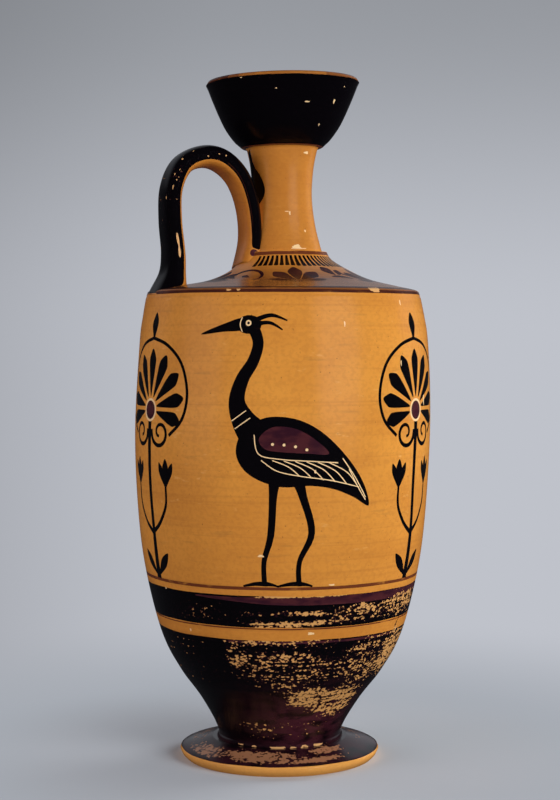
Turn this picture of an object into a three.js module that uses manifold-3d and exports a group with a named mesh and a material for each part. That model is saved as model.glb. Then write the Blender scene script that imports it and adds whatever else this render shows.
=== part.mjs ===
// A shouldered lekythos: a tall oil flask of fired clay, thrown in sections on a wheel and luted together.
// Millimetres, +Z up. The origin is the centre of the face that the foot rests on.
// The strap handle stands on the -X side, in the plane Y = 0.

import * as THREE from 'three';
import { mergeVertices } from 'three/addons/utils/BufferGeometryUtils.js';
import Module from 'manifold-3d';

// Driving dimensions: heights of the joints and of the rim above the resting face
const FOOT_TOP = 8.8;
const BODY_TOP = 204;
const SHOULDER_TOP = 224.6;
const NECK_TOP = 269.6;
const HEIGHT = 300;

// Driving dimensions: radii
const FOOT_RADIUS = 44.3;
const REST_RING = [29, 41.8];
const STEM_RADIUS = 27.2;
const BELLY_RADIUS = 65.6;
const EDGE_RADIUS = 61;
const EDGE_BASE_RADIUS = 60.7;
const NECK_BASE_RADIUS = 17.4;
const WAIST_RADIUS = 13.3;
const NECK_TOP_RADIUS = 15.6;
const MOUTH_BASE_RADIUS = 16.9;
const RIM_RADIUS = 34.1;
const BORE_RADIUS = 8.6;

// Driving dimensions: thicknesses
const WALL = 4.6;
const SLIP = 0.8;
const FILLET = 1.8;
const FILLET_SWELL = 0.9;
const FOOT_HOLLOW = 2.4;
const FLOOR_HEIGHT = 18;
const FLOOR_RADIUS = 15;

// The handle's luting slip lies between these two distances from the neck and shoulder
const PAD_NEAR = 0.3;
const PAD_FAR = 0.9;
const CUT_GAP = 0.3;

// Fineness
const SEGMENTS = 40;
const STRAP_SIDES = 16;
const STRAP_STEPS = 44;
const STRAP_SQUARENESS = 2.8;

// Heights where each piece starts, one slip layer above the piece below it
const BODY_BASE = FOOT_TOP + SLIP;
const SHOULDER_BASE = BODY_TOP + SLIP;
const NECK_BASE = SHOULDER_TOP + SLIP;
const MOUTH_BASE = NECK_TOP + SLIP;

const wasm = await Module();
wasm.setup();

const CLAY = { color: 0xc98a42, roughness: 0.5, metalness: 0 };
const SLIP_CLAY = { color: 0xa8682f, roughness: 0.7, metalness: 0 };
const BLACK_GLOSS = { color: 0x0c090b, roughness: 0.22, metalness: 0 };

// A smooth outline through points of radius and height
function spline(points, steps) {
  const curve = new THREE.SplineCurve(points.map(([radius, height]) => new THREE.Vector2(radius, height)));
  return curve.getPoints(steps);
}

function corner(radius, height) {
  return new THREE.Vector2(radius, height);
}

// The outline moved to the right of its direction of travel, which is outwards for one that climbs
function offset(outline, distance) {
  return outline.map((point, i) => {
    const before = outline[Math.max(i - 1, 0)];
    const after = outline[Math.min(i + 1, outline.length - 1)];
    const along = after.clone().sub(before).normalize();
    return corner(point.x + along.y * distance, point.y - along.x * distance);
  });
}

// The inner faces are plainer than the outer ones
function everySecond(outline) {
  return outline.filter((_, i) => i % 2 === 0);
}

// A solid of revolution about Z, from an outline that climbs on the outside and comes down on the inside
function revolved(outline) {
  const closed = outline[0].x > 0 ? [...outline, outline[0].clone()] : outline;
  return new THREE.LatheGeometry(closed, SEGMENTS).rotateX(Math.PI / 2);
}

// A flat layer between two heights, from an inner radius to the outer radii of its lower and upper faces
function layer(inner, [outerLow, outerHigh], low, high) {
  const outside = [corner(outerLow, low), corner(outerHigh, high)];
  const inside = [corner(inner, high), corner(inner, low)];
  return revolved([...outside, ...inside]);
}

// Outlines of the outer faces, from the foot up
const FOOT_OUTLINE = spline([
  [REST_RING[1], 0], [43.4, 1.6], [FOOT_RADIUS, 3.4], [43.8, 4.7], [41, 5.7], [35, 7.2], [30, FOOT_TOP],
], 12);

const BODY_OUTLINE = spline([
  [STEM_RADIUS, BODY_BASE + FILLET], [28.1, 13.6], [30.4, 18.4], [36.9, 28.8], [45, 39.6], [53.4, 55.6],
  [60.4, 82.6], [63.9, 109.2], [BELLY_RADIUS, 146.5], [64.1, 183.7], [62.2, 197.5], [EDGE_RADIUS, BODY_TOP],
], 26);

const SHOULDER_OUTLINE = spline([
  [EDGE_BASE_RADIUS, SHOULDER_BASE], [60.2, 206.4], [58.8, 207.6], [49.8, 209.6], [38, 212.6], [28.3, 217.2],
  [21.8, 221.3], [19.7, SHOULDER_TOP],
], 20);

const NECK_OUTLINE = spline([
  [NECK_BASE_RADIUS, NECK_BASE], [15.1, 234.5], [13.6, 244.5], [WAIST_RADIUS, 253], [14.2, 263],
  [NECK_TOP_RADIUS, NECK_TOP],
], 10);

const MOUTH_OUTLINE = spline([
  [MOUTH_BASE_RADIUS, MOUTH_BASE], [20.6, 273], [25.7, 280], [30.6, 290.6], [33.4, HEIGHT - 2.4],
  [RIM_RADIUS, HEIGHT - 1.2], [33.9, HEIGHT - 0.4], [33, HEIGHT],
], 14);

// Outlines of the inner faces, from the top down
const MOUTH_HOLLOW = spline([
  [32.2, HEIGHT], [31.4, HEIGHT - 0.4], [30.6, HEIGHT - 1.6], [26.4, 290.6], [20.8, 281.2], [14.4, 275.4],
  [BORE_RADIUS, 271.6],
], 12);

const SHOULDER_HOLLOW = everySecond(offset(SHOULDER_OUTLINE, -WALL))
  .filter((point) => point.y > SHOULDER_BASE && point.x > BORE_RADIUS + WALL)
  .reverse();

const BODY_HOLLOW = everySecond(offset(BODY_OUTLINE, -WALL))
  .filter((point) => point.y > FLOOR_HEIGHT + WALL && point.y < BODY_TOP)
  .reverse();

function footGeometry() {
  const [ringInner] = REST_RING;
  const hollow = [corner(0, FOOT_HOLLOW), corner(ringInner - FOOT_HOLLOW, FOOT_HOLLOW)];
  return revolved([...hollow, corner(ringInner, 0), ...FOOT_OUTLINE, corner(0, FOOT_TOP)]);
}

function bodyGeometry() {
  const base = [corner(0, BODY_BASE), corner(STEM_RADIUS, BODY_BASE)];
  const rim = corner(EDGE_RADIUS - WALL, BODY_TOP);
  const floor = [corner(FLOOR_RADIUS, FLOOR_HEIGHT + 1), corner(0, FLOOR_HEIGHT)];
  return revolved([...base, ...BODY_OUTLINE, rim, ...BODY_HOLLOW, ...floor]);
}

function shoulderGeometry() {
  const throat = [corner(BORE_RADIUS, SHOULDER_TOP), corner(BORE_RADIUS, SHOULDER_TOP - WALL)];
  const rim = corner(EDGE_RADIUS - WALL, SHOULDER_BASE);
  return revolved([...SHOULDER_OUTLINE, ...throat, ...SHOULDER_HOLLOW, rim]);
}

function neckGeometry() {
  return revolved([...NECK_OUTLINE, corner(BORE_RADIUS, NECK_TOP), corner(BORE_RADIUS, NECK_BASE)]);
}

function mouthGeometry() {
  return revolved([...MOUTH_OUTLINE, ...MOUTH_HOLLOW, corner(BORE_RADIUS, MOUTH_BASE)]);
}

// The small roll of clay pressed round the joint of body and foot
function filletGeometry() {
  const top = FOOT_TOP + FILLET;
  const swell = STEM_RADIUS + FILLET_SWELL;
  const face = spline([
    [swell - 0.1, FOOT_TOP], [swell, FOOT_TOP + FILLET / 2], [swell - 0.3, top - 0.3],
    [STEM_RADIUS + 0.2, top],
  ], 6);
  return revolved([...face, corner(STEM_RADIUS, top), corner(STEM_RADIUS, FOOT_TOP)]);
}

// Stations of the handle's strap: distance from the vessel's axis, height, thickness and width.
// They run up beside the neck, over the arch and down to the shoulder's edge, with both ends inside the clay.
const HANDLE_STATIONS = [
  [17.4, 219, 10.4, 24], [15, 231, 8.2, 21], [16.2, 245, 8.2, 20], [20.8, 257, 8.8, 20],
  [28.6, 264.2, 9.6, 20], [37.2, 265.7, 9.5, 20], [46, 261.6, 8.8, 20.5], [50.7, 251.5, 8.2, 20.5],
  [51.2, 238, 8.2, 20.5], [50.1, 224, 8.6, 21], [50.8, 214, 10.2, 22.5], [53, 205, 17, 27],
];

// The strap at a share of its length: its middle, the direction square to it in its plane, and its size
function strapStation(share) {
  const middles = HANDLE_STATIONS.map(([radius, height]) => new THREE.Vector2(radius, height));
  const sizes = HANDLE_STATIONS.map(([, , thickness, width]) => new THREE.Vector2(thickness, width));
  const line = new THREE.SplineCurve(middles);
  const size = new THREE.SplineCurve(sizes).getPoint(share);
  const middle = line.getPoint(share);
  const along = line.getTangent(share);
  const across = corner(along.y, -along.x);
  return { middle, across, thickness: size.x, width: size.y };
}

// A rounded oblong between an oval and a rectangle
function strapSection(station) {
  const power = 2 / STRAP_SQUARENESS;
  const blunt = (value) => Math.sign(value) * Math.abs(value) ** power;
  return Array.from({ length: STRAP_SIDES }, (_, i) => {
    const angle = (i + 0.5) / STRAP_SIDES * 2 * Math.PI;
    const out = blunt(Math.sin(angle)) * station.thickness / 2;
    const side = blunt(Math.cos(angle)) * station.width / 2;
    const radius = station.middle.x + station.across.x * out;
    return new THREE.Vector3(-radius, side, station.middle.y + station.across.y * out);
  });
}

// The strap between two shares of its length, closed at both ends
function strapGeometry(from, to) {
  const steps = Math.round(STRAP_STEPS * (to - from));
  const shares = Array.from({ length: steps + 1 }, (_, i) => from + (to - from) * i / steps);
  const points = shares.flatMap((share) => strapSection(strapStation(share)));
  const faces = [];
  for (let step = 0; step < steps; step += 1) {
    for (let side = 0; side < STRAP_SIDES; side += 1) {
      const a = step * STRAP_SIDES + side;
      const b = step * STRAP_SIDES + (side + 1) % STRAP_SIDES;
      faces.push(a, b, a + STRAP_SIDES, b, b + STRAP_SIDES, a + STRAP_SIDES);
    }
  }
  const last = steps * STRAP_SIDES;
  for (let side = 1; side < STRAP_SIDES - 1; side += 1) {
    faces.push(0, side + 1, side);
    faces.push(last, last + side, last + side + 1);
  }
  return new THREE.BufferGeometry().setFromPoints(points).setIndex(faces);
}

// The neck and shoulder as one lump, grown by a distance, for fitting the handle to them
function grownCore(distance) {
  const outline = [corner(EDGE_RADIUS, SHOULDER_BASE - 10), ...SHOULDER_OUTLINE, ...NECK_OUTLINE];
  const grown = offset(outline, distance);
  return revolved([corner(0, grown[0].y), ...grown, corner(0, grown.at(-1).y)]);
}

function solidOf(geometry) {
  const bare = new THREE.BufferGeometry();
  bare.setAttribute('position', geometry.getAttribute('position'));
  bare.setIndex(geometry.getIndex());
  const merged = mergeVertices(bare);
  const corners = merged.getIndex().array;
  const kept = [];
  for (let i = 0; i < corners.length; i += 3) {
    const [a, b, c] = corners.slice(i, i + 3);
    if (a !== b && b !== c && c !== a) kept.push(a, b, c);
  }
  const vertProperties = Float32Array.from(merged.getAttribute('position').array);
  const triVerts = Uint32Array.from(kept);
  return new wasm.Manifold(new wasm.Mesh({ numProp: 3, vertProperties, triVerts }));
}

function geometryOf(solid) {
  const { vertProperties, triVerts } = solid.getMesh();
  const geometry = new THREE.BufferGeometry();
  geometry.setAttribute('position', new THREE.BufferAttribute(vertProperties, 3));
  geometry.setIndex(new THREE.BufferAttribute(triVerts, 1));
  return geometry;
}

function handleGeometry() {
  const strap = solidOf(strapGeometry(0, 1));
  return geometryOf(strap.subtract(solidOf(grownCore(PAD_FAR + CUT_GAP))));
}

// The slip pressed out flat under one end of the strap
function padGeometry(from, to) {
  const end = solidOf(strapGeometry(from, to));
  const skin = solidOf(grownCore(PAD_FAR)).subtract(solidOf(grownCore(PAD_NEAR)));
  return geometryOf(end.intersect(skin));
}

const lekythos = new THREE.Group();

function addPiece(name, geometry, finish) {
  geometry.computeVertexNormals();
  const piece = new THREE.Mesh(geometry, new THREE.MeshStandardMaterial(finish));
  piece.name = name;
  lekythos.add(piece);
}

const SHOULDER_JOINT = [EDGE_RADIUS, EDGE_BASE_RADIUS];
const NECK_JOINT = [NECK_BASE_RADIUS, NECK_BASE_RADIUS];
const MOUTH_JOINT = [NECK_TOP_RADIUS, MOUTH_BASE_RADIUS - SLIP];
const FOOT_JOINT = [STEM_RADIUS, STEM_RADIUS];

// Shares of the strap's length that lie on the neck and on the shoulder
const NECK_END = [0, 0.35];
const SHOULDER_END = [0.8, 1];

addPiece('foot', footGeometry(), BLACK_GLOSS);
addPiece('foot_slip', layer(0, FOOT_JOINT, FOOT_TOP, BODY_BASE), SLIP_CLAY);
addPiece('foot_fillet', filletGeometry(), BLACK_GLOSS);
addPiece('body', bodyGeometry(), CLAY);
addPiece('shoulder_slip', layer(EDGE_RADIUS - WALL, SHOULDER_JOINT, BODY_TOP, SHOULDER_BASE), SLIP_CLAY);
addPiece('shoulder', shoulderGeometry(), CLAY);
addPiece('neck_slip', layer(BORE_RADIUS, NECK_JOINT, SHOULDER_TOP, NECK_BASE), SLIP_CLAY);
addPiece('neck', neckGeometry(), CLAY);
addPiece('mouth_slip', layer(BORE_RADIUS, MOUTH_JOINT, NECK_TOP, MOUTH_BASE), SLIP_CLAY);
addPiece('mouth', mouthGeometry(), BLACK_GLOSS);
addPiece('handle', handleGeometry(), BLACK_GLOSS);
addPiece('handle_neck_slip', padGeometry(...NECK_END), SLIP_CLAY);
addPiece('handle_shoulder_slip', padGeometry(...SHOULDER_END), SLIP_CLAY);

export default lekythos;
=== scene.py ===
"""The looks of a black-figure lekythos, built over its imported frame.

Each thrown piece is turned again as a fine mesh, on its own solid's profile, with its painting cut into it.
Metres, +Z up. Angles round the vessel start at the side that faces the camera and grow towards its right.
Motifs are drawn in millimetres on the unrolled surface.
"""
import bisect
from math import atan2, copysign, cos, degrees, dist, exp, hypot, pi, radians, remainder, sin, tau

import bpy
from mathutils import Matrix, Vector
from mathutils.geometry import delaunay_2d_cdt


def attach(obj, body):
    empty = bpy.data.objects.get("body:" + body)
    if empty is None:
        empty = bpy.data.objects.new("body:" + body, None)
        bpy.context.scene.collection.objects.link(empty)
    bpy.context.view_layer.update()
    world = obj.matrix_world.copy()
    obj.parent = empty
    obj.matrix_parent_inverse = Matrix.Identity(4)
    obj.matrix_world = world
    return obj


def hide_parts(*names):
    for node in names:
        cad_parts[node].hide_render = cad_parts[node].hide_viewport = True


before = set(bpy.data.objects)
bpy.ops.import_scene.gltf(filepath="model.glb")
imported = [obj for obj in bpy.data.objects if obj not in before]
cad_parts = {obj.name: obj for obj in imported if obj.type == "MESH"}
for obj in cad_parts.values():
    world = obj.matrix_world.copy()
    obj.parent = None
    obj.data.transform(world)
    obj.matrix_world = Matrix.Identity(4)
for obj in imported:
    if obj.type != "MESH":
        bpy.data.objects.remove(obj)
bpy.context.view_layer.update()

MM = 0.001

# The camera's place, from the photograph
CAMERA_AZIMUTH = radians(-18)
CAMERA_DISTANCE = 0.77
CAMERA_HEIGHT = 0.188
CAMERA_LENS = 77.75
AIM_HEIGHT = 0.1589
AIM_SIDEWAYS = -0.0008

# Fineness of the turned meshes, and the angle of their seam, where no motif lies
COLUMNS = 180
ROW_STEP = 2.2 * MM
SPLINE_STEPS = 10
SHARP_TURN = radians(40)
ROUNDED_TURN = radians(50)
ROUNDED_NODES = ("shoulder", "foot_fillet")
WELD_DIGITS = 7
SECTION_DIGITS = 6
ON_PLANE = 2e-6
CUT_TOLERANCE = 1e-5
SEAM = radians(150)
SEAM_REACH = 1e-5

# How far belly, mouth and foot stray to the camera's right, each at a height with a reach
STRAYS = ((0.9 * MM, 183, 38), (0.35 * MM, 300, 30), (-1.1 * MM, 0, 32))
MOUTH_LEAN = 0.022
MOUTH_LEAN_HEIGHTS = (255, 275)

# The dent in the shoulder beside the handle: its depth, and each measure's middle and reach
DENT_DEPTH = 4.5
DENT_ANGLE = radians(-95)
DENT_TURN = 0.8
DENT_RADII = (22, 22)
DENT_HEIGHTS = (217, 11)

# The handle's place, in degrees
HANDLE_ANGLE = -72

# The radius of the body's picture, its ground's height, and the radius of the shoulder's chain
FIELD_RADIUS = 64.0
GROUND = 83.6
MOTIF_RADIUS = 45.0
SCRATCH_WIDTH = 0.42
ARCH_WIDTH = 1.5

# Paints, as shares of black gloss, added red, thinned brown and pale marks over the bare clay; pale marks
# are scratches, and in a few places painted glints
BARE = (0, 0, 0, 0)
BLACK = (1, 0, 0, 0)
RED = (0, 1, 0, 0)
THIN = (0, 0, 1, 0)
THIN_WASH = (0, 0, 0.48, 0)
EDGE_WASH = (0, 0.25, 0.7, 0)
MAROON = (0.45, 0, 1, 0)
PURPLE = (0.4, 0.9, 1, 0)
DARK_PURPLE = (0.42, 0.5, 1, 0)
DULL_BLACK = (1, 0, 0.85, 0)
SATIN_BLACK = (1, 0, 0.65, 0)
# The shoulder's painted shade, laid on as a thin brown wash with some added red
SHOULDER_SHADE_WASH = (0, 0.3, 0.55, 0)
# A faint brown tint that makes the neck a little darker
NECK_DARKER_TINT = (0, 0, 0.14, 0)
# Pale marks: scratches, and a few painted glints
SCRATCH_AND_GLINT = (0, 0, 0, 1)
CHIP = (0, 0, 0, 0.4)
# Clay showing in the fillet's chips, and painted glints there
FILLET_CLAY_AND_GLINT = (0, 0, 0.12, 0.4)
STREAK = (0.72, 0.6, 1, 0)

# What a painted outline is measured by, beside its angle
RADIUS = 0
HEIGHT = 1


def srgb(red, green, blue):
    """A colour on screen, 0 to 255, as linear values."""
    shares = [c / 255 for c in (red, green, blue)]
    return tuple(c / 12.92 if c < 0.04045 else ((c + 0.055) / 1.055) ** 2.4 for c in shares) + (1.0,)


CLAY = srgb(222, 150, 62)
CLAY_DEEP = srgb(196, 124, 48)
CLAY_LINE = srgb(182, 112, 46)
CLAY_SPECK = srgb(112, 64, 30)
CLAY_SMUDGE = srgb(140, 96, 52)
CLAY_PALE = srgb(232, 178, 104)
CLAY_FLAKED = srgb(210, 155, 92)
FOOT_BROWN = srgb(162, 112, 80)
GLOSS_BLACK = srgb(6, 4, 7)
FIRED_RED = srgb(70, 30, 40)
ADDED_RED = srgb(74, 33, 38)
ADDED_RED_DARK = srgb(50, 20, 32)
THIN_BROWN = srgb(92, 38, 26)
# The colour of scratches, and of painted glints
PALE_SCRATCH_AND_GLINT = srgb(240, 204, 152)
HORIZON = srgb(191, 194, 202)
# The backdrop's painted shade above the horizon
BACKDROP_SHADE_ABOVE = srgb(148, 151, 157)
SHADE = srgb(0, 0, 0)
DIM_ROOM = srgb(38, 39, 42)
FLOOR = srgb(215, 221, 229)
# The floor's painted shade round the vessel
FLOOR_NEAR_SHADE = srgb(163, 168, 176)
FLOOR_BOUNCE = srgb(155, 159, 165)


def catmull(points, steps, closed=False):
    """A smooth line through points, with a number of steps between neighbours."""
    count = len(points)
    line = []
    for span in range(count if closed else count - 1):
        order = range(span - 1, span + 3)
        near = [points[k % count] if closed else points[min(max(k, 0), count - 1)] for k in order]
        for step in range(steps):
            t = step / steps
            weights = (
                -0.5 * t + t**2 - 0.5 * t**3,
                1 - 2.5 * t**2 + 1.5 * t**3,
                0.5 * t + 2 * t**2 - 1.5 * t**3,
                -0.5 * t**2 + 0.5 * t**3,
            )
            line.append(tuple(sum(w * c for w, c in zip(weights, axis)) for axis in zip(*near)))
    return line if closed else line + [tuple(points[-1])]


def spaced(low, high, step):
    count = max(round((high - low) / step), 1)
    return [low + (high - low) * i / count for i in range(count + 1)]


ANGLES = spaced(SEAM - tau, SEAM, tau / COLUMNS)


# Profiles, read from the frame

def doubled_area(outline):
    """Twice the area of an outline, above 0 if it runs anticlockwise."""
    return sum(a[0] * b[1] - b[0] * a[1] for a, b in zip(outline, outline[1:] + outline[:1]))


def section(node):
    """A turned solid's outline in the half plane X = 0, Y < 0, as (radius, height), climbing outside."""
    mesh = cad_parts[node].data
    spots = [(-v.co.y, v.co.z) for v in mesh.vertices]
    places = [tuple(round(c, SECTION_DIGITS) for c in spot) for spot in spots]
    level = [abs(v.co.x) < ON_PLANE and v.co.y < ON_PLANE for v in mesh.vertices]
    links = {}
    for edge in mesh.edges:
        a, b = edge.vertices
        if level[a] and level[b] and places[a] != places[b]:
            links.setdefault(places[a], set()).add(places[b])
            links.setdefault(places[b], set()).add(places[a])
    on_axis = sorted((p for p in links if p[0] <= 0), key=lambda p: p[1])
    outline = [on_axis[0] if on_axis else max(links)]
    while True:
        here = outline[-1]
        ahead = [p for p in links[here] if p not in outline and max(p[0], here[0]) > 0]
        if not ahead:
            break
        outline.append(max(ahead))
    if doubled_area(outline) < 0:
        outline.reverse()
    return outline if on_axis else outline + outline[:1]


class Run:
    """A smooth stretch of a profile between sharp corners, measured along its length."""

    def __init__(self, points):
        self.points = catmull(points, SPLINE_STEPS) if len(points) > 2 else list(points)
        self.lengths = [0.0]
        for a, b in zip(self.points, self.points[1:]):
            self.lengths.append(self.lengths[-1] + dist(a, b))
        self.length = self.lengths[-1]
        self.mean_radius = max(sum(p[0] for p in self.points) / len(self.points), MM)

    def at(self, distance):
        i = min(max(bisect.bisect_right(self.lengths, distance) - 1, 0), len(self.points) - 2)
        share = (distance - self.lengths[i]) / (self.lengths[i + 1] - self.lengths[i])
        a, b = self.points[i], self.points[i + 1]
        return a[0] + (b[0] - a[0]) * share, a[1] + (b[1] - a[1]) * share

    def normal(self, distance):
        reach = 0.4 * MM
        a = self.at(max(distance - reach, 0.0))
        b = self.at(min(distance + reach, self.length))
        size = dist(a, b)
        return (b[1] - a[1]) / size, (a[0] - b[0]) / size

    def faces(self):
        """How far the run's middle faces out from the axis, and up."""
        return self.normal(self.length / 2)

    def where(self, value, measure):
        """The distance along the run at which its radius or height has a value."""
        pairs = sorted((p[measure], s) for p, s in zip(self.points, self.lengths))
        i = min(max(bisect.bisect_right([v for v, _ in pairs], value) - 1, 0), len(pairs) - 2)
        (low, at_low), (high, at_high) = pairs[i], pairs[i + 1]
        share = (value - low) / (high - low) if high > low else 0.0
        return at_low + (at_high - at_low) * clamped(share)


def turn_at(outline, i):
    a, b, c = outline[i - 1], outline[i], outline[i + 1]
    before = atan2(b[1] - a[1], b[0] - a[0])
    after = atan2(c[1] - b[1], c[0] - b[0])
    return abs(remainder(after - before, tau))


def tops_out(outline, i):
    """Whether a rim turns over at this point."""
    return outline[i - 1][1] < outline[i][1] >= outline[i + 1][1]


def runs_of(node):
    """A node's profile, cut into runs at its sharp corners and at the top of a rim."""
    outline = section(node)
    sharp = ROUNDED_TURN if node in ROUNDED_NODES else SHARP_TURN
    inner = range(1, len(outline) - 1)
    corners = [i for i in inner if turn_at(outline, i) > sharp or tops_out(outline, i)]
    cuts = [0] + corners + [len(outline) - 1]
    pieces = [outline[a:b + 1] for a, b in zip(cuts, cuts[1:])]
    if outline[0] == outline[-1] and len(pieces) > 1:
        ring_start = [outline[-2]] + outline[:2]
        if turn_at(ring_start, 1) <= sharp:
            pieces[0] = pieces.pop()[:-1] + pieces[0]
    return [Run(piece) for piece in pieces]


def place(radius, height, angle):
    """A point or a direction, from its distance to the axis, its height and its angle."""
    turn = CAMERA_AZIMUTH + (angle - tau if angle > SEAM - SEAM_REACH else angle)
    return Vector((radius * sin(turn), -radius * cos(turn), height))


def bell(value, middle, reach):
    return exp(-(((value - middle) / reach) ** 2))


def clamped(share):
    return min(max(share, 0.0), 1.0)


def swayed(spot):
    """A point moved as the hand-thrown vessel strays from its axis."""
    stray = sum(far * bell(spot.z / MM, level, reach) for far, level, reach in STRAYS)
    return spot + place(stray, 0.0, pi / 2)


def askew(spot):
    """A point moved as the mouth leans, its rim a little higher on the camera's right."""
    low, high = MOUTH_LEAN_HEIGHTS
    share = clamped((spot.z / MM - low) / (high - low))
    aside = spot.dot(place(1.0, 0.0, pi / 2))
    return spot + Vector((0, 0, MOUTH_LEAN * share * aside))


def pressed(spot):
    """A point moved as the shoulder was pressed down a little, beside the handle."""
    radius = hypot(spot.x, spot.y) / MM
    angle = atan2(spot.x, -spot.y) - CAMERA_AZIMUTH
    turn = remainder(angle - DENT_ANGLE, tau)
    depth = bell(turn, 0, DENT_TURN) * bell(radius, *DENT_RADII) * bell(spot.z / MM, *DENT_HEIGHTS)
    return spot - Vector((0, 0, DENT_DEPTH * depth * MM))


# Meshes that know their paint

def added(name, data):
    thing = bpy.data.objects.new(name, data)
    bpy.context.scene.collection.objects.link(thing)
    return thing


class Shape:
    """The faces of one piece. Points that meet are shared, so that the mesh is closed."""

    def __init__(self):
        self.points = []
        self.known = {}
        self.faces = []
        self.normals = []
        self.uvs = []
        self.paints = []
        self.ages = []

    def point(self, spot):
        key = tuple(round(c, WELD_DIGITS) for c in spot)
        if key not in self.known:
            self.known[key] = len(self.points)
            self.points.append(spot)
        return self.known[key]

    def face(self, corners, paint):
        """corners are (point, normal, uv, age)."""
        kept = []
        for corner in corners:
            index = self.point(corner[0])
            if index not in [k[0] for k in kept]:
                kept.append((index, *corner[1:]))
        if len(kept) < 3:
            return
        indices, normals, uvs, ages = zip(*kept)
        self.faces.append(indices)
        self.normals += normals
        self.uvs += uvs
        self.ages += [(*age, 1.0) for age in ages]
        self.paints += [paint] * len(kept)

    def make(self, name, material):
        mesh = bpy.data.meshes.new(name)
        mesh.from_pydata(self.points, [], self.faces)
        mesh.polygons.foreach_set("use_smooth", [True] * len(mesh.polygons))
        mesh.uv_layers.new(name="OFBake").data.foreach_set("uv", [c for uv in self.uvs for c in uv])
        for title, values in (("paint", self.paints), ("age", self.ages)):
            layer = mesh.attributes.new(title, "FLOAT_COLOR", "CORNER")
            layer.data.foreach_set("color", [c for value in values for c in value])
        mesh.normals_split_custom_set(self.normals)
        mesh.materials.append(material)
        return added(name, mesh)


def patch(shape, columns, rows, mapping, base, strokes=()):
    """A surface over a rectangle of columns and rows, with painted outlines cut into it.

    mapping turns a place in the rectangle into a corner. strokes are (paint, outline), later ones on top.
    """
    if not strokes:
        for x0, x1 in zip(columns, columns[1:]):
            for y0, y1 in zip(rows, rows[1:]):
                shape.face([mapping(x, y) for x, y in ((x0, y0), (x1, y0), (x1, y1), (x0, y1))], base)
        return
    points = [(x, y) for x in columns for y in rows]
    outlines = []
    for _, outline in strokes:
        order = list(range(len(points), len(points) + len(outline)))
        points += outline
        outlines.append(order if doubled_area(outline) > 0 else order[::-1])
    scaled = [Vector((x / MM, y / MM)) for x, y in points]
    found, _, faces, _, _, origins = delaunay_2d_cdt(scaled, [], outlines, 0, CUT_TOLERANCE)
    corners = [mapping(p.x * MM, p.y * MM) for p in found]
    for face, origin in zip(faces, origins):
        shape.face([corners[i] for i in face], strokes[max(origin)][0] if origin else base)


# How the surface has aged, in how much paint has flaked and how red the firing left it; and how pale the
# clay is: paler and scuffed round the body's middle, and paler at the foot's edge as a painted highlight

# Angle in degrees, height in millimetres, reach round, reach up, strength
WORN_PLACES = (
    (5, 79.6, 28, 0.6, 1.15), (4, 72.0, 23, 1.35, 1.0), (5, 67.5, 25, 1.5, 1.25),
    (34, 71.6, 20, 6, 0.8), (63, 73, 22, 6.5, 0.9), (-36, 71, 24, 4.5, 0.45),
    (0, 60, 34, 1.5, 0.9), (-21, 53, 7, 8, 0.8), (4, 47, 32, 15, 0.67),
    (46, 49, 24, 14, 0.78), (67, 51, 18, 14, 0.95), (18, 33.2, 19, 6.5, 1.05),
    (39, 30, 22, 10, 0.98), (0, 17, 46, 6, 0.56), (-52, 48, 28, 14, 0.36),
    (165, 45, 40, 16, 0.8), (-130, 68, 30, 8, 0.7), (140, 71, 34, 6, 0.8),
    (-120, 32, 30, 9, 0.7), (-12, 6.8, 38, 1.6, 1.06), (-54, 6.5, 28, 1.5, 1.0),
    (40, 7.9, 18, 1.0, 1.2), (18, 6.0, 36, 0.55, 1.15), (-110, 7.2, 50, 1.4, 0.75),
    (140, 7.2, 60, 1.4, 0.85),
)
LEAST_WEAR = 0.04

# Middle and reach, in millimetres or degrees, of what is reddened, of the paler clay round the body's
# middle, and of the painted highlight at the foot's edge
RED_HEIGHTS = (20, 15)
RED_DEGREES = (22, 38)
FOOT_RED = 0.5
FOOT_HEIGHTS = (6, 4)
FIELD_HEIGHTS = (150, 72)
FOOT_HIGHLIGHT_HEIGHTS = (2, 4)


def degrees_from(angle, middle):
    """How far an angle is from a place in degrees, in degrees and the short way round."""
    return degrees(remainder(angle - radians(middle), tau))


def age_at(angle, height):
    high = height / MM
    worn = LEAST_WEAR
    for middle, level, around, up, strength in WORN_PLACES:
        away = (degrees_from(angle, middle) / around) ** 2 + ((high - level) / up) ** 2
        worn = max(worn, strength * bell(away, 0, 1))
    stem_red = bell(high, *RED_HEIGHTS) * bell(degrees_from(angle, 0), *RED_DEGREES)
    foot_red = FOOT_RED * bell(high, *FOOT_HEIGHTS)
    # Paler clay round the body's middle, and a painted highlight at the foot's edge
    paleness_and_highlight = max(bell(high, *FIELD_HEIGHTS), bell(high, *FOOT_HIGHLIGHT_HEIGHTS))
    return worn, max(stem_red, foot_red), paleness_and_highlight


# Outlines of brushwork, in millimetres

def smooth(*points):
    return catmull(points, 6, closed=True)


def stroke(*stations):
    """A brush line through stations of (x, y, width)."""
    line = catmull(stations, 6)
    left = []
    right = []
    for i, (x, y, width) in enumerate(line):
        before = line[max(i - 1, 0)]
        after = line[min(i + 1, len(line) - 1)]
        length = dist(before[:2], after[:2])
        aside_x = (before[1] - after[1]) / length * width / 2
        aside_y = (after[0] - before[0]) / length * width / 2
        left.append((x + aside_x, y + aside_y))
        right.append((x - aside_x, y - aside_y))
    return left + right[::-1]


def scratch(*points):
    """A thin line of even width, as a graver leaves."""
    return stroke(*[(x, y, SCRATCH_WIDTH) for x, y in points])


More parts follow.
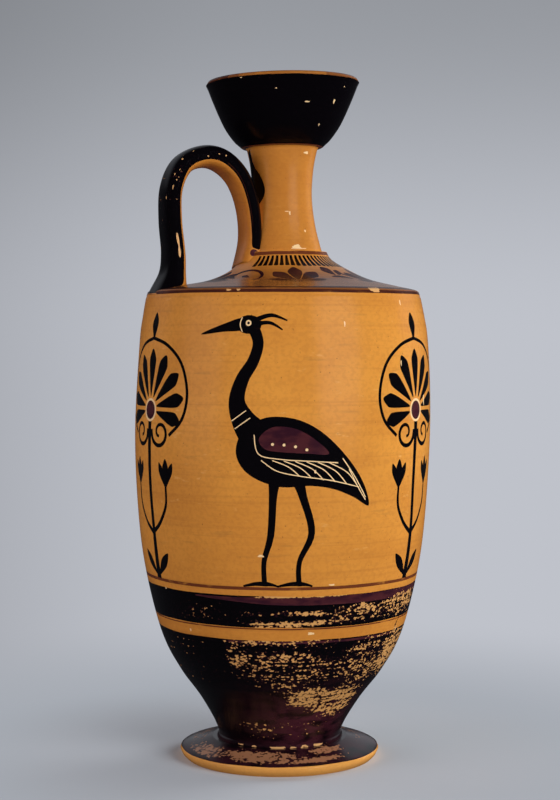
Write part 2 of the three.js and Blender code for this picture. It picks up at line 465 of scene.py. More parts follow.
def leaf(base, tip, width, fullest=0.6):
    """A petal from its base to its tip, widest at a share of its length."""
    along = (tip[0] - base[0], tip[1] - base[1])
    length = hypot(*along)
    across = (-along[1] / length * width / 2, along[0] / length * width / 2)

    def at(share, side):
        return tuple(base[k] + along[k] * share + across[k] * side for k in (0, 1))

    near = fullest * 0.45
    far = (1 + fullest) / 2
    left = [at(near, 0.55), at(fullest, 1), at(far, 0.8)]
    right = [at(far, -0.8), at(fullest, -1), at(near, -0.55)]
    return smooth(base, *left, tip, *right)


def inked(paint, *outlines):
    return [(paint, outline) for outline in outlines]


def disc(x, y, wide, high, points=18):
    turns = [tau * i / points for i in range(points)]
    return [(x + wide * cos(t), y + high * sin(t)) for t in turns]


def carried(motif, mapping):
    """A motif with each point of its outlines put through a function."""
    return [(paint, [mapping(*point) for point in outline]) for paint, outline in motif]


def mirrored(motif):
    return carried(motif, lambda x, y: (-x, y))


def wobble(angle, seed):
    """How far a hand-drawn line strays, from -1 to 1, and the same after a full turn."""
    waves = ((3, 0.45), (7, 0.3), (13, 0.25))
    return sum(size * sin(count * angle + seed * count) for count, size in waves)


def ring(low, high, seed=0.0, stray=0.25, angles=ANGLES):
    """A band painted round the vessel between two heights or radii in millimetres."""
    under = [(a, (low + stray * wobble(a, seed)) * MM) for a in angles]
    over = [(a, (high + stray * wobble(a, seed + 2)) * MM) for a in angles]
    return under + over[::-1]


def arc(first, last, low, high, seed=0.0, stray=0.25):
    """A part of a ring, between two angles in degrees."""
    return ring(low, high, seed, stray, spaced(radians(first), radians(last), tau / COLUMNS))


def angle_at(heading):
    """An angle in radians, on the near side of the seam."""
    angle = radians(heading)
    return angle - tau if angle > SEAM else angle


def on_body(motif, heading):
    """A motif with its ground at 0, set on the body's wall."""
    middle = angle_at(heading)
    return carried(motif, lambda x, y: (middle + x / FIELD_RADIUS, (GROUND + y) * MM))


def on_shoulder(motif, heading):
    """A motif set on the shoulder, its ground towards the shoulder's edge."""
    middle = angle_at(heading)
    return carried(motif, lambda x, y: (middle + x / (MOTIF_RADIUS - y), (MOTIF_RADIUS - y) * MM))


# The picture on the body: long-legged birds between tall palmettes

def bird_leg(foot_x, knee, hip):
    thigh = (hip[0] * 0.6 + knee[0] * 0.4, 38, 3.4)
    shank = stroke((*hip, 5.6), thigh, (*knee, 2.9), (foot_x, 11, 2.2), (foot_x, 1.2, 2.4))
    toes = [
        stroke((foot_x + 1, 1.6, 2.2), (foot_x - 4, 1.5, 1.7), (foot_x - 9.5, 0.5, 0.8)),
        stroke((foot_x, 1.6, 2.2), (foot_x + 3, 1.3, 1.4), (foot_x + 6, 0.5, 0.7)),
    ]
    return inked(BLACK, shank, *toes)


def bird_body():
    trunk = smooth(
        (-19, 57), (-16, 65), (-7, 70.5), (5, 70), (16, 64.5), (27, 54), (35, 43), (38, 33.5),
        (30, 37.5), (21, 41), (11, 42.5), (0, 42), (-10, 45), (-16.5, 50),
    )
    neck = stroke(
        (-9, 61, 15), (-15.5, 68.5, 10.5), (-19, 77, 7), (-17, 86, 5.6),
        (-12.6, 93.5, 4.8), (-10.6, 101, 4.6), (-12.5, 107, 5),
    )
    head = disc(-14.6, 108.6, 5.4, 3.9)
    beak = smooth((-17.5, 111.2), (-26, 108.8), (-36.5, 104.6), (-26, 105.6), (-17.5, 106.4))
    crest = [
        stroke((-11, 110.8, 2), (-5, 112.4, 1.6), (1.5, 110.2, 0.6)),
        stroke((-11, 109, 1.8), (-5.5, 109.2, 1.4), (-0.5, 106.4, 0.6)),
    ]
    return inked(BLACK, trunk, neck, head, beak, *crest)


def bird_details():
    covert = smooth(
        (-9.5, 62), (-4, 66.6), (5, 66), (13, 61.6),
        (19, 55.6), (10, 55.8), (0, 56.4), (-7, 57.6),
    )
    edge = scratch((-11.5, 63.5), (-9.5, 55.5), (0, 53.4), (12, 52.6), (23, 51.8))
    lower = scratch((-8.5, 53), (-2, 48.6), (8, 46.4), (20, 44.6), (33, 41.4))
    feathers = []
    for i in range(6):
        start = (-4 + 4.6 * i, 53 - 0.2 * i)
        middle = (2.4 + 4.9 * i, 50.4 - 0.5 * i)
        feathers.append(scratch(start, middle, (7 + 5 * i, 46.6 - 0.9 * i)))
    tail = []
    for i in range(2):
        tail.append(scratch((25 + 3 * i, 53.6 - 4.6 * i), (31 + 1.4 * i, 45.4 - 4 * i), (36.2, 37 - i)))
    dots = [disc(-4 + 4.6 * i, 59.6 - 0.25 * i * i, 0.62, 0.62, 8) for i in range(4)]
    collar = [scratch((-21 + 1.4 * i, 69 - 3.2 * i), (-15 + 1.8 * i, 73.4 - 3 * i)) for i in range(2)]
    face = scratch((-17.6, 111.6), (-18.4, 108.6), (-17.4, 105.6))
    eye = disc(-14.8, 109.2, 1.25, 1.25, 12)
    pupil = disc(-14.8, 109.2, 0.6, 0.6, 10)
    pale_marks = inked(SCRATCH_AND_GLINT, edge, lower, *feathers, *tail, *dots, *collar, face, eye)
    return [(RED, covert), *pale_marks, (BLACK, pupil)]


def bird():
    near_leg = bird_leg(-7.5, (-4.6, 22), (-3, 46))
    far_leg = bird_leg(7.5, (12.4, 23), (6, 46))
    return near_leg + far_leg + bird_body() + bird_details()


def fan(x, y, count, reach, inner, width, spread):
    """Petals of a palmette round its heart, the middle one longest."""
    petals = []
    for i in range(count):
        lean = spread * (2 * i / (count - 1) - 1)
        length = reach * (1 - 0.16 * (lean / spread) ** 2)
        base = (x + inner * sin(lean), y + inner * cos(lean))
        tip = (x + length * sin(lean), y + length * cos(lean))
        petals.append((BLACK, leaf(base, tip, width, 0.72)))
    return petals


def volute(x, y, reach, turns, width, start):
    """A spiral tendril that winds in to its middle at (x, y)."""
    count = round(turns * 10)
    stations = []
    for i in range(count + 1):
        share = i / count
        radius = reach * (1 - 0.78 * share)
        turn = start + turns * tau * share
        thick = width * (1 - 0.35 * share)
        stations.append((x + radius * cos(turn), y + radius * sin(turn), thick))
    return stroke(*stations)


def palmette_half():
    """What lies to the right of a tall palmette's stalk."""
    curl = volute(8.2, 63, 6.6, 1.25, 1.9, pi * 0.94)
    foot_leaf = leaf((0.6, 1), (10.5, 11.5), 4.4, 0.55)
    side_shoot = stroke((0.4, 20, 2), (6.5, 24.5, 1.8), (11.5, 32, 1.6), (12, 40, 1.4))
    bud = [leaf((12, 39.5), (12 + 6 * k, 52 - abs(k) * 2.2), 4 - abs(k), 0.6) for k in (-0.75, 0, 0.75)]
    arch_line = ((14.6, 62), (22.2, 69), (24.6, 80), (20.6, 92.4), (11.2, 100), (0, 103))
    arch = stroke(*[(x, y, ARCH_WIDTH) for x, y in arch_line])
    return inked(BLACK, curl, foot_leaf, side_shoot, *bud, arch)


def palmette():
    stalk = stroke((0, 0, 4), (0.5, 20, 2.8), (-0.3, 42, 2.6), (0, 68, 3))
    half = palmette_half()
    petals = fan(0, 73, 9, 25.5, 5.2, 6, radians(104))
    top_bud = leaf((0, 102), (0, 114), 5.4, 0.55)
    heart_rim = disc(0, 72.4, 5, 5)
    heart = disc(0, 72.4, 4, 4)
    details = [(BLACK, top_bud), (SCRATCH_AND_GLINT, heart_rim), (RED, heart)]
    return [(BLACK, stalk)] + half + mirrored(half) + petals + details


def frieze():
    pairs = 3
    step = 360 / pairs
    strokes = []
    for i in range(pairs):
        strokes += on_body(bird(), i * step) + on_body(palmette(), (i + 0.5) * step)
    return strokes


# The shoulder: tongues round the neck, and palmettes joined by tendrils

TONGUES = 68
TONGUE_RADII = (27.4, 20.8)
TONGUE_GAP = 43


def tongues():
    strokes = []
    outer, inner = TONGUE_RADII
    for i in range(TONGUES):
        angle = SEAM - tau * (i + 0.5) / TONGUES
        if abs(degrees_from(angle, HANDLE_ANGLE)) < TONGUE_GAP:
            continue
        end = outer + 0.5 * wobble(angle, 1.7)
        outline = stroke((0, inner, 1.3), (0, (inner + end) / 2, 1.5), (0, end - 0.6, 1.8), (0, end, 1))
        strokes.append((DULL_BLACK, [(angle + x / 25, radius * MM) for x, radius in outline]))
    return strokes


def shoulder_palmette():
    leaves = [leaf((0, 2.4), (0, 16.4), 6.2, 0.66)]
    for side in (-1, 1):
        leaves.append(leaf((1.2 * side, 1.8), (9.2 * side, 12.2), 6.8, 0.66))
        leaves.append(leaf((1.6 * side, 0.4), (12.6 * side, 3.4), 4.6, 0.62))
    return inked(PURPLE, *leaves) + [(RED, disc(0, 0, 1.7, 1.5))]


def shoulder_tendril():
    curve = stroke(
        (3.2, 1.5, 1), (4.6, 7, 1.2), (2.6, 12, 1.5), (-2, 14.4, 1.7),
        (-7, 13.2, 1.6), (-11, 8.6, 1.3), (-13, 4, 1),
    )
    buds = [leaf((-0.6, 6.6), (-4.8, 9.2), 3), leaf((-7.4, 5.4), (-11, 8.6), 3)]
    return inked(PURPLE, curve, *buds)


def shoulder_bud():
    lobes = [leaf((0.4, 9.4), (-2, 16.8), 5.6, 0.6), leaf((2.6, 9.6), (5.4, 14.4), 4, 0.6)]
    stems = [
        stroke((-3, 7.6, 1.4), (2, 7.8, 2.6), (7.6, 5.4, 1.2)),
        stroke((5.6, 11, 1.2), (9.8, 9, 1.6), (14, 9, 0.8)),
    ]
    return inked(PURPLE, *lobes, *stems)


def shoulder_chain():
    count = 6
    step = 360 / count
    first = 9
    strokes = []
    for i in range(count):
        heading = first + i * step
        between = shoulder_tendril() if i % 2 else shoulder_bud()
        strokes += on_shoulder(shoulder_palmette(), heading) + on_shoulder(between, heading + step / 2)
    return strokes


# Paint on each piece: its base, and outlines in angles and distances along its run

def laid(run, strokes, measure=HEIGHT):
    """Strokes in angles and heights or radii, carried onto a run where they are in its reach."""
    least = min(p[measure] for p in run.points)
    most = max(p[measure] for p in run.points)
    found = []
    for paint, outline in strokes:
        values = [v for _, v in outline]
        if min(values) < most and max(values) > least:
            found.append((paint, [(angle, run.where(v, measure)) for angle, v in outline]))
    return found


MARK_POINTS = 14
MARK_POWER = 0.7


def squared(share, power):
    """A sine or cosine raised to a power below 1, which makes an oval squarer."""
    return copysign(abs(share) ** power, share)


def ragged_mark(heading, level, wide, high, radius):
    """A small ragged mark in angles and heights: mostly a loss in the paint, but a few are painted glints
    and highlights.
    """
    middle = radians(heading)
    outline = []
    for i in range(MARK_POINTS):
        turn = tau * i / MARK_POINTS
        reach = 0.5 + 0.22 * wobble(turn, heading + level)
        x = wide * reach * squared(cos(turn), MARK_POWER)
        y = high * reach * squared(sin(turn), MARK_POWER)
        outline.append((middle + x / radius, (level + y) * MM))
    return outline


# Angle in degrees, height, width and depth of single marks, in millimetres: chips, and a few painted glints
# and highlights as noted
# Pale marks on the mouth: chips, some of them painted glints
MOUTH_CHIPS_AND_GLINTS = (
    (-5, 292.8, 0.6, 0.5), (21, 287.4, 2.2, 0.5), (49, 288.2, 1, 1.8),
    (40, 278.4, 0.7, 1), (56, 294.6, 0.5, 0.5), (-32, 298, 0.9, 0.4),
    (112, 286, 1.9, 1), (-140, 290, 1.6, 1.2), (160, 280, 1.3, 0.9),
)
# Chips on the neck; the mark at 44 degrees near its top is a painted highlight
NECK_CHIPS_AND_HIGHLIGHT = (
    (14, 241.2, 0.7, 1.6), (9, 241.8, 1.8, 0.4), (41, 233.4, 0.9, 0.9), (22, 226.4, 3.2, 1.8),
    (24, 225.4, 6, 1.1), (44, 267.4, 2.6, 1), (150, 250, 1.4, 2),
)
EDGE_CHIPS = (
    (40, 206.9, 5.6, 2), (-22, 206.6, 2.2, 0.8), (-18, 206.6, 1.6, 0.7),
    (120, 206.4, 4, 1.4), (-150, 206.6, 3, 1.2),
)
# Chips on the body; the mark at 23.4 degrees, 192.6 mm up, is a painted highlight
FIELD_CHIPS_AND_HIGHLIGHT = (
    (53.4, 201.8, 0.9, 2.2), (23.4, 192.6, 0.6, 2.2), (50, 176, 0.7, 2.4), (68, 160, 1, 4.6),
    (12, 132, 0.8, 1.4), (-8, 97, 2.4, 1), (20, 84.4, 2.6, 0.7), (12.4, 63.6, 3, 1.1),
    (-56, 79.6, 0.9, 0.8), (-44, 62.8, 1, 1.2),
)


def ragged_marks(places, radius, paint=SCRATCH_AND_GLINT):
    return inked(paint, *[ragged_mark(*spot, radius) for spot in places])


def all_bare(run):
    return BARE, []


def foot_paint(run):
    _, up = run.faces()
    if up < 0.1:
        return BARE, []
    return BLACK, laid(run, [(BARE, ring(-1, 4.6, 0.4, 0.16))])


# Clay chips on the fillet; the two at -37 and -23 degrees are painted glints
FILLET_CHIPS_AND_GLINTS = (
    (-37, 9.5, 3, 0.5), (-23, 9.4, 2.2, 0.7), (-1, 9.2, 6.6, 1.1),
    (12.4, 9.2, 2.8, 0.7), (23, 9.3, 3.2, 1.3), (37, 9.3, 4.8, 1.2),
    (95, 9.3, 4, 1), (170, 9.3, 6, 1.2), (-120, 9.3, 5, 1.1),
)


def fillet_paint(run):
    out, _ = run.faces()
    if out < 0.3:
        return BLACK, []
    return BLACK, laid(run, ragged_marks(FILLET_CHIPS_AND_GLINTS, 28, FILLET_CLAY_AND_GLINT))


# Lower and upper heights of the bands on the body, in millimetres
BLACK_BAND = (66.2, 79.8)
BAND_LINE = (65.3, 65.9)
LOWER_BLACK = (9.7, 60.6)
RED_LINE = (59.2, 60.2)


def body_paint(run):
    out, _ = run.faces()
    if out < 0.5:
        return BARE, []
    bands = [
        (THIN, ring(GROUND - 1.2, GROUND + 0.15, 0.3, 0.12)),
        (BLACK, ring(*BLACK_BAND, 1.1)),
        (THIN, ring(*BAND_LINE, 3.2, 0.12)),
        (BLACK, ring(*LOWER_BLACK, 4.1)),
        (RED, arc(-24, 62, *RED_LINE, 5.2, 0.15)),
    ]
    strip = stroke(
        (-42, -4.8, 0.5), (-20, -5.4, 2), (0, -5.8, 3.4),
        (40, -5.9, 3.7), (100, -5.8, 3.6), (150, -5.3, 1),
    )
    crack = stroke((71.2, -17.4, 0.5), (69.9, -20, 0.8), (69.2, -21.6, 1.4), (69.9, -24.4, 0.5))
    crack_side = stroke((71.4, -21.4, 0.4), (71, -23, 1.2), (70.8, -24.6, 0.5))
    # A crack, chips, and one painted highlight
    damage_and_highlight = on_body([(DULL_BLACK, crack), (CHIP, crack_side)], 0) + ragged_marks(FIELD_CHIPS_AND_HIGHLIGHT, FIELD_RADIUS)
    return BARE, laid(run, bands + on_body([(RED, strip)], 0) + frieze() + damage_and_highlight)


def thinning_shade_wash():
    """The shoulder's painted shade, laid on as a brown wash that gets weaker in small steps towards the
    neck.
    """
    steps = 7
    rings = []
    for i in range(steps):
        share = 1 - (i + 1) / steps
        rings.append(([c * share for c in SHOULDER_SHADE_WASH], ring(19, 39 - 2.2 * i, 1.3 + i, 0.3)))
    return rings


# Heights that part the bands at the shoulder's edge
EDGE_LEVELS = (203, 205.5, 206.8, 207.5, 208.1)


def shoulder_paint(run):
    out, up = run.faces()
    if up < 0.3 or out < 0.05:
        return BARE, []
    base, line, wash, upper_line, top = EDGE_LEVELS
    edge = [
        (BARE, ring(base, line, 0.8, 0.1)),
        (DARK_PURPLE, ring(line, wash, 0.8, 0.1)),
        (EDGE_WASH, ring(wash, upper_line, 2.2, 0.05)),
        (PURPLE, ring(upper_line, top, 1.4, 0.06)),
    ]
    neck_zone = thinning_shade_wash() + [(THIN, ring(19.8, 20.5, 2.9, 0.08))]
    drawing = laid(run, neck_zone + shoulder_chain() + tongues(), RADIUS)
    # The shoulder's base is its painted shade wash, under its bands and drawing
    return SHOULDER_SHADE_WASH, laid(run, edge) + drawing + laid(run, ragged_marks(EDGE_CHIPS, 60, CHIP))


def neck_blot(side):
    """The black beside the handle's upper end, on one side of it."""
    shape = smooth(
        (-6, 270), (4, 266), (14, 261.5), (27, 258), (36, 253.5),
        (37, 249.5), (30, 246.5), (16, 244), (4, 246), (-6, 256),
    )
    return DULL_BLACK, [(radians(HANDLE_ANGLE + side * a), z * MM) for a, z in shape]


def neck_paint(run):
    out, _ = run.faces()
    if out < 0.5:
        return BARE, []
    # The neck gets its faint darker tint all over
    return NECK_DARKER_TINT, laid(run, [neck_blot(1), neck_blot(-1)] + ragged_marks(NECK_CHIPS_AND_HIGHLIGHT, 15))


# Heights on the mouth: past the lip's top, where the lip begins outside and inside, and the joint
LIP_TOP = 301
LIP_OUTSIDE = 298.5
LIP_INSIDE = 299.2
MOUTH_JOINT = (269, 270.3, 270.8)


def lip(low):
    """The lip above a height: dark on the handle's side, and rubbed to a red wash elsewhere."""
    return [
        (MAROON, ring(low, LIP_TOP, 0.9, 0.12)),
        (EDGE_WASH, arc(-44, 140, low, LIP_TOP, 0.9, 0.12)),
        (THIN_WASH, arc(-34, 34, low, LIP_TOP, 0.9, 0.12)),
    ]


def mouth_paint(run):
    out, up = run.faces()
    if out > 0.3:
        low, middle, high = MOUTH_JOINT
        joint = [(BARE, ring(low, middle, 0.3, 0.06)), (THIN, ring(middle, high, 0.3, 0.06))]
        return SATIN_BLACK, laid(run, lip(LIP_OUTSIDE) + joint + ragged_marks(MOUTH_CHIPS_AND_GLINTS, 30))
    if up > 0.1:
        return BLACK, laid(run, lip(LIP_INSIDE))
    return BARE, []


# Node, slot and painter of each thrown piece
PAINTERS = (
    ("foot", "black_gloss", foot_paint),
    ("foot_slip", "luting_slip", all_bare),
    ("foot_fillet", "black_gloss", fillet_paint),
    ("body", "clay", body_paint),
    ("shoulder_slip", "luting_slip", all_bare),
    ("shoulder", "clay", shoulder_paint),
    ("neck_slip", "luting_slip", all_bare),
    ("neck", "clay", neck_paint),
    ("mouth_slip", "luting_slip", all_bare),
    ("mouth", "black_gloss", mouth_paint),
)


def turned(shape, run, base, uv_rows, strokes):
    """One run of a profile turned round the axis, with its painting."""
    girth = run.mean_radius
    low, high = uv_rows

    def corner(x, y):
        angle = x / girth
        radius, height = run.at(y)
        out, up = run.normal(y)
        uv = ((angle - ANGLES[0]) / tau, low + (high - low) * y / run.length)
        spot = pressed(place(radius, height, angle))
        return askew(swayed(spot)), place(out, up, angle), uv, age_at(angle, height)

    unrolled = carried(strokes, lambda angle, distance: (angle * girth, distance))
    columns = [girth * angle for angle in ANGLES]
    patch(shape, columns, spaced(0.0, run.length, ROW_STEP), corner, base, unrolled)


def thrown(node, slot, paint, material):
    """A turned piece in place of its CAD node."""
    shape = Shape()
    runs = runs_of(node)
    total = sum(run.length for run in runs)
    done = 0.0
    for run in runs:
        rows = (done / total + 0.002, (done + run.length) / total - 0.002)
        base, strokes = paint(run)
        turned(shape, run, base, rows, strokes)
        done += run.length
    piece = shape.make("turned_" + node, material)
    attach(piece, "root")
    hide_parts(node)


# The handle: a strap pulled from clay, over the same stations as its CAD solid

# Distance from the axis, height, thickness and width, in millimetres
HANDLE_STATIONS = (
    (17.4, 219, 10.4, 24), (15, 231, 8.2, 21), (16.2, 245, 8.2, 20), (20.8, 257, 8.8, 20),
    (28.6, 264.2, 9.6, 20), (37.2, 265.7, 9.5, 20), (46, 261.6, 8.8, 20.5), (50.7, 251.5, 8.2, 20.5),
    (51.2, 238, 8.2, 20.5), (50.1, 224, 8.6, 21), (50.8, 214, 10.2, 22.5), (53, 205, 17, 27),
)
STRAP_SQUARENESS = 2.8
STRAP_SIDES = 64
STRAP_STEPS = 16
STRAP_ENDS = (0.015, 0.99)
STRAP_PAINT_ENDS = (0.02, 0.985)
STRAP_ROW = 0.008
STRAP_WEAR = 0.3
STRAP_WORN = (0.58, 0.2)

# The unrolled strap's size, and the reach over which its slopes are measured
STRAP_GIRTH = 50 * MM
STRAP_LENGTH = 120 * MM
TURN_REACH = 0.02
SHARE_REACH = 0.004

# How the strap's lower end sinks, in millimetres: below a height and beyond a radius
SETTLED_BY = 3
SETTLED_BELOW = 214
SETTLED_HEIGHT = 9
SETTLED_BEYOND = 52
SETTLED_WIDTH = 8.6


class Strap:
    """The strap's smooth line, read by the share of its stations passed."""

    def __init__(self):
        self.line = catmull(HANDLE_STATIONS, STRAP_STEPS)

    def station(self, share):
        spot = share * (len(self.line) - 1)
        i = min(int(spot), len(self.line) - 2)
        part = spot - i
        return [a + (b - a) * part for a, b in zip(self.line[i], self.line[i + 1])]

    def along(self, share):
        reach = 0.5 / len(self.line)
        a = self.station(max(share - reach, 0.0))
        b = self.station(min(share + reach, 1.0))
        size = dist(a[:2], b[:2])
        return (b[0] - a[0]) / size, (b[1] - a[1]) / size

    def spot(self, turn, share):
        """A point of the surface. Half a turn from 0 faces into the loop, the other half away from it."""
        radius, height, thickness, width = self.station(share)
        step_out, step_up = self.along(share)
        power = 2 / STRAP_SQUARENESS
        out = squared(sin(turn), power) * thickness / 2
        side = squared(cos(turn), power) * width / 2
        return Vector((-(radius + step_up * out), side, height - step_out * out)) * MM


# Chips on the strap: degrees round it, share of its length, and half their size in each
STRAP_CHIPS = (
    (196, 0.64, 3, 0.007), (186, 0.615, 2, 0.003), (206, 0.6, 3, 0.004), (190, 0.58, 2, 0.003),
    (212, 0.545, 5, 0.004), (176, 0.45, 3, 0.003), (184, 0.4, 2, 0.003), (188, 0.37, 4, 0.002),
    (214, 0.5, 2, 0.003), (232, 0.67, 3, 0.005), (320, 0.6, 4, 0.004), (350, 0.5, 3, 0.003),
    (300, 0.8, 4, 0.004),
)


def strap_paint():
    """The strap's black, in degrees round it and shares of its length. Its inner face stays bare."""
    inner_edge = (
        (172, 0.058), (160, 0.07), (155, 0.12), (155, 0.2), (160, 0.3), (163, 0.4),
        (160, 0.53), (154, 0.62), (153, 0.72), (156, 0.85), (157, 0.915), (164, 0.94),
        (180, 0.953), (200, 0.963), (225, 0.985), (250, 1),
    )
    neck_edge = ((190, 0.056), (208, 0.07), (216, 0.13), (228, 0.2), (246, 0.27), (270, 0.3))
    front = catmull(inner_edge, 6)
    under = catmull(neck_edge, 6)
    whole_turn_back = 540
    back = [(whole_turn_back - turn, share) for turn, share in reversed(front)]
    under_back = [(whole_turn_back - turn, share) for turn, share in under[:-1]]
    strokes = [(SATIN_BLACK, front + back + under_back + under[::-1])]
    for turn in (172, whole_turn_back - 172):
        strokes.append((RED, disc(turn + 3, 0.045, 16, 0.01)))
    long_chip = smooth(
        (181, 0.766), (184, 0.776), (182.6, 0.79), (180.4, 0.8), (181.4, 0.815), (180, 0.834),
        (176.4, 0.836), (175, 0.82), (177.6, 0.803), (177, 0.788), (178.6, 0.774),
    )
    streak = smooth((171, 0.34), (173, 0.33), (167, 0.2), (165, 0.13), (163, 0.12), (164, 0.2))
    strokes += [(CHIP, long_chip), (STREAK, streak)]
    return strokes + inked(CHIP, *[disc(*spot, 9) for spot in STRAP_CHIPS])


def settled(spot):
    """A point moved as the strap's lower end was smoothed over the shoulder's edge."""
    radius = hypot(spot.x, spot.y) / MM
    low = clamped((SETTLED_BELOW - spot.z / MM) / SETTLED_HEIGHT)
    out = clamped((radius - SETTLED_BEYOND) / SETTLED_WIDTH)
    return spot - Vector((0, 0, SETTLED_BY * MM * low * out))


def handle(material):
    strap = Strap()
    shape = Shape()
    girth = STRAP_GIRTH / 360

    def corner(x, y):
        turn = radians(x / girth)
        share = y / STRAP_LENGTH
        here = strap.spot(turn, share)
        around = strap.spot(turn + TURN_REACH, share) - strap.spot(turn - TURN_REACH, share)
        before = strap.spot(turn, max(share - SHARE_REACH, 0))
        ahead = strap.spot(turn, min(share + SHARE_REACH, 1)) - before
        uv = (x / girth / 360 - 0.25, share)
        age = (STRAP_WEAR * bell(share, *STRAP_WORN), 0.0, 0.0)
        return swayed(pressed(settled(here))), around.cross(ahead).normalized(), uv, age

    columns = [girth * turn for turn in spaced(90, 450, 360 / STRAP_SIDES)]
    rows = [STRAP_LENGTH * share for share in spaced(*STRAP_ENDS, STRAP_ROW)]
    first, last = STRAP_PAINT_ENDS

    def unrolled(turn, share):
        return turn * girth, min(max(share, first), last) * STRAP_LENGTH

    patch(shape, columns, rows, corner, BARE, carried(strap_paint(), unrolled))
    first_ring, last_ring = ([corner(x, end) for x in columns[:-1]] for end in (rows[0], rows[-1]))
    shape.face(first_ring[::-1], BARE)
    shape.face(last_ring, BARE)
    piece = shape.make("strap_handle", material)
    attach(piece, "root")
    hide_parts("handle", "handle_neck_slip", "handle_shoulder_slip")


# Materials

class Nodes:
    """Short calls for nodes: numbers, colours or sockets go in, sockets come back."""

    def __init__(self, tree):
        self.tree = tree

    def feed(self, node, inputs):
        for name, value in inputs.items():
            if isinstance(value, bpy.types.NodeSocket):
                self.tree.links.new(value, node.inputs[name])
            else:
                node.inputs[name].default_value = value
        return node

    def add(self, kind, inputs, **settings):
        node = self.tree.nodes.new("ShaderNode" + kind)
        for name, value in settings.items():
            setattr(node, name, value)
        return self.feed(node, inputs)

    def calc(self, operation, a, b=0.0):
        return self.add("Math", {0: a, 1: b}, operation=operation).outputs[0]

    def plus(self, a, b):
        return self.calc("ADD", a, b)

    def minus(self, a, b):
        return self.calc("SUBTRACT", a, b)

    def times(self, a, b):
        return self.calc("MULTIPLY", a, b)

    def larger(self, a, b):
        return self.calc("MAXIMUM", a, b)

    def vector(self, operation, a, b=(0, 0, 0)):
        return self.add("VectorMath", {0: a, 1: b}, operation=operation).outputs

    def step(self, value, low, high):
        """0 below low, 1 above high, and a soft rise between them."""
        inputs = {"Value": value, "From Min": low, "From Max": high}
        return self.add("MapRange", inputs, interpolation_type="SMOOTHSTEP").outputs[0]

    def blend(self, share, a, b):
        return self.add("Mix", {0: share, 6: a, 7: b}, data_type="RGBA").outputs[2]

    def noise(self, where, scale, detail=3.0, rough=0.5):
        """Noise with a number of waves to the metre along each axis."""
        spread = self.vector("MULTIPLY", where, scale)[0]
        inputs = {"Vector": spread, "Scale": 1.0, "Detail": detail, "Roughness": rough}
        return self.add("TexNoise", inputs).outputs[0]

    def cells(self, where, scale):
        """The distance to the nearest of scattered points, with so many to the metre."""
        spread = self.vector("MULTIPLY", where, scale)[0]
        return self.add("TexVoronoi", {"Vector": spread, "Scale": 1.0}).outputs["Distance"]

    def attribute(self, name):
        """The colour attribute's red, green, blue and alpha."""
        node = self.add("Attribute", {}, attribute_name=name)
        split = self.add("SeparateColor", {0: node.outputs["Color"]})
        return (*split.outputs, node.outputs["Alpha"])


# Mottle, turning lines, smudges and specks: noise scale and detail, its low and high, strength and colour
CLAY_LAYERS = (
    ((560, 560, 640), 3.0, 0.42, 0.64, 0.26, CLAY_LINE),
    ((9, 9, 600), 4.0, 0.5, 0.75, 0.34, CLAY_LINE),
    ((60, 60, 420), 4.0, 0.6, 0.74, 0.2, CLAY_SMUDGE),
    ((900, 900, 900), 2.0, 0.7, 0.77, 0.6, CLAY_SPECK),
)


def clay_colour(nodes, where, paleness_and_highlight):
    cloud = nodes.step(nodes.noise(where, (22, 22, 40)), 0.35, 0.65)
    # Paler round the body's middle, and at the foot's edge as a painted highlight; scuffs show in the same
    # places
    paleness = nodes.plus(nodes.times(cloud, 0.4), nodes.times(paleness_and_highlight, 0.6))
    tone = nodes.blend(paleness, CLAY_DEEP, CLAY)
    for scale, detail, low, high, strength, colour in CLAY_LAYERS:
        share = nodes.step(nodes.noise(where, scale, detail), low, high)
        tone = nodes.blend(nodes.times(share, strength), tone, colour)
    scuff = nodes.step(nodes.noise(where, (150, 150, 420), 5.0), 0.64, 0.76)
    return nodes.blend(nodes.times(scuff, nodes.times(paleness_and_highlight, 0.5)), tone, CLAY_PALE)


def loosening(nodes, where, worn):
    """Above 0 where paint has come off, in pits and flakes that join as the wear gets heavier."""
    broad = nodes.noise(where, (350, 350, 780), 7.0, 0.7)
    fine = nodes.noise(where, (1300, 1300, 1700), 2.0)
    rows = nodes.noise(where, (24, 24, 800), 2.0)
    pits = nodes.minus(1.0, nodes.cells(where, (620, 620, 800)))
    mix = 0.0
    for part, weight in ((broad, 0.43), (fine, 0.16), (rows, 0.22), (pits, 0.18)):
        mix = nodes.plus(mix, nodes.times(part, weight))
    patchy = nodes.times(nodes.noise(where, (75, 75, 160), 2.0), 0.9)
    wear = nodes.times(worn, nodes.plus(patchy, 0.55))
    limit = nodes.minus(0.685, nodes.times(wear, 0.215))
    return nodes.minus(mix, limit)


def new_material(name):
    """A material, with short calls for its nodes and with its shader."""
    material = bpy.data.materials.new(name)
    material.use_nodes = True
    return material, Nodes(material.node_tree), material.node_tree.nodes["Principled BSDF"]


def bare_colour(nodes, where, paleness_and_highlight, lost_paint):
    """Clay, paler at the foot's edge with dust and a painted highlight, paler where paint has come off it
    and brown there on the foot.
    """
    height = nodes.add("SeparateXYZ", {0: where}).outputs[2]
    # Dust and a painted highlight make the foot's edge paler
    dust_and_highlight = nodes.times(nodes.step(height, 0.008, 0.004), 0.3)
    clay = nodes.blend(dust_and_highlight, clay_colour(nodes, where, paleness_and_highlight), CLAY_PALE)
    lost = nodes.blend(nodes.step(height, 0.01, 0.014), FOOT_BROWN, CLAY_FLAKED)
    return nodes.blend(lost_paint, clay, lost)


def gloss_colour(nodes, smear, loose, fired_red):
    """Black gloss, reddish where the firing left it so and round flaked places."""
    halo = nodes.times(nodes.step(loose, -0.07, 0.0), 0.45)
    tinge = nodes.times(fired_red, nodes.step(smear, 0.3, 0.6))
    return nodes.blend(nodes.larger(tinge, halo), GLOSS_BLACK, FIRED_RED)


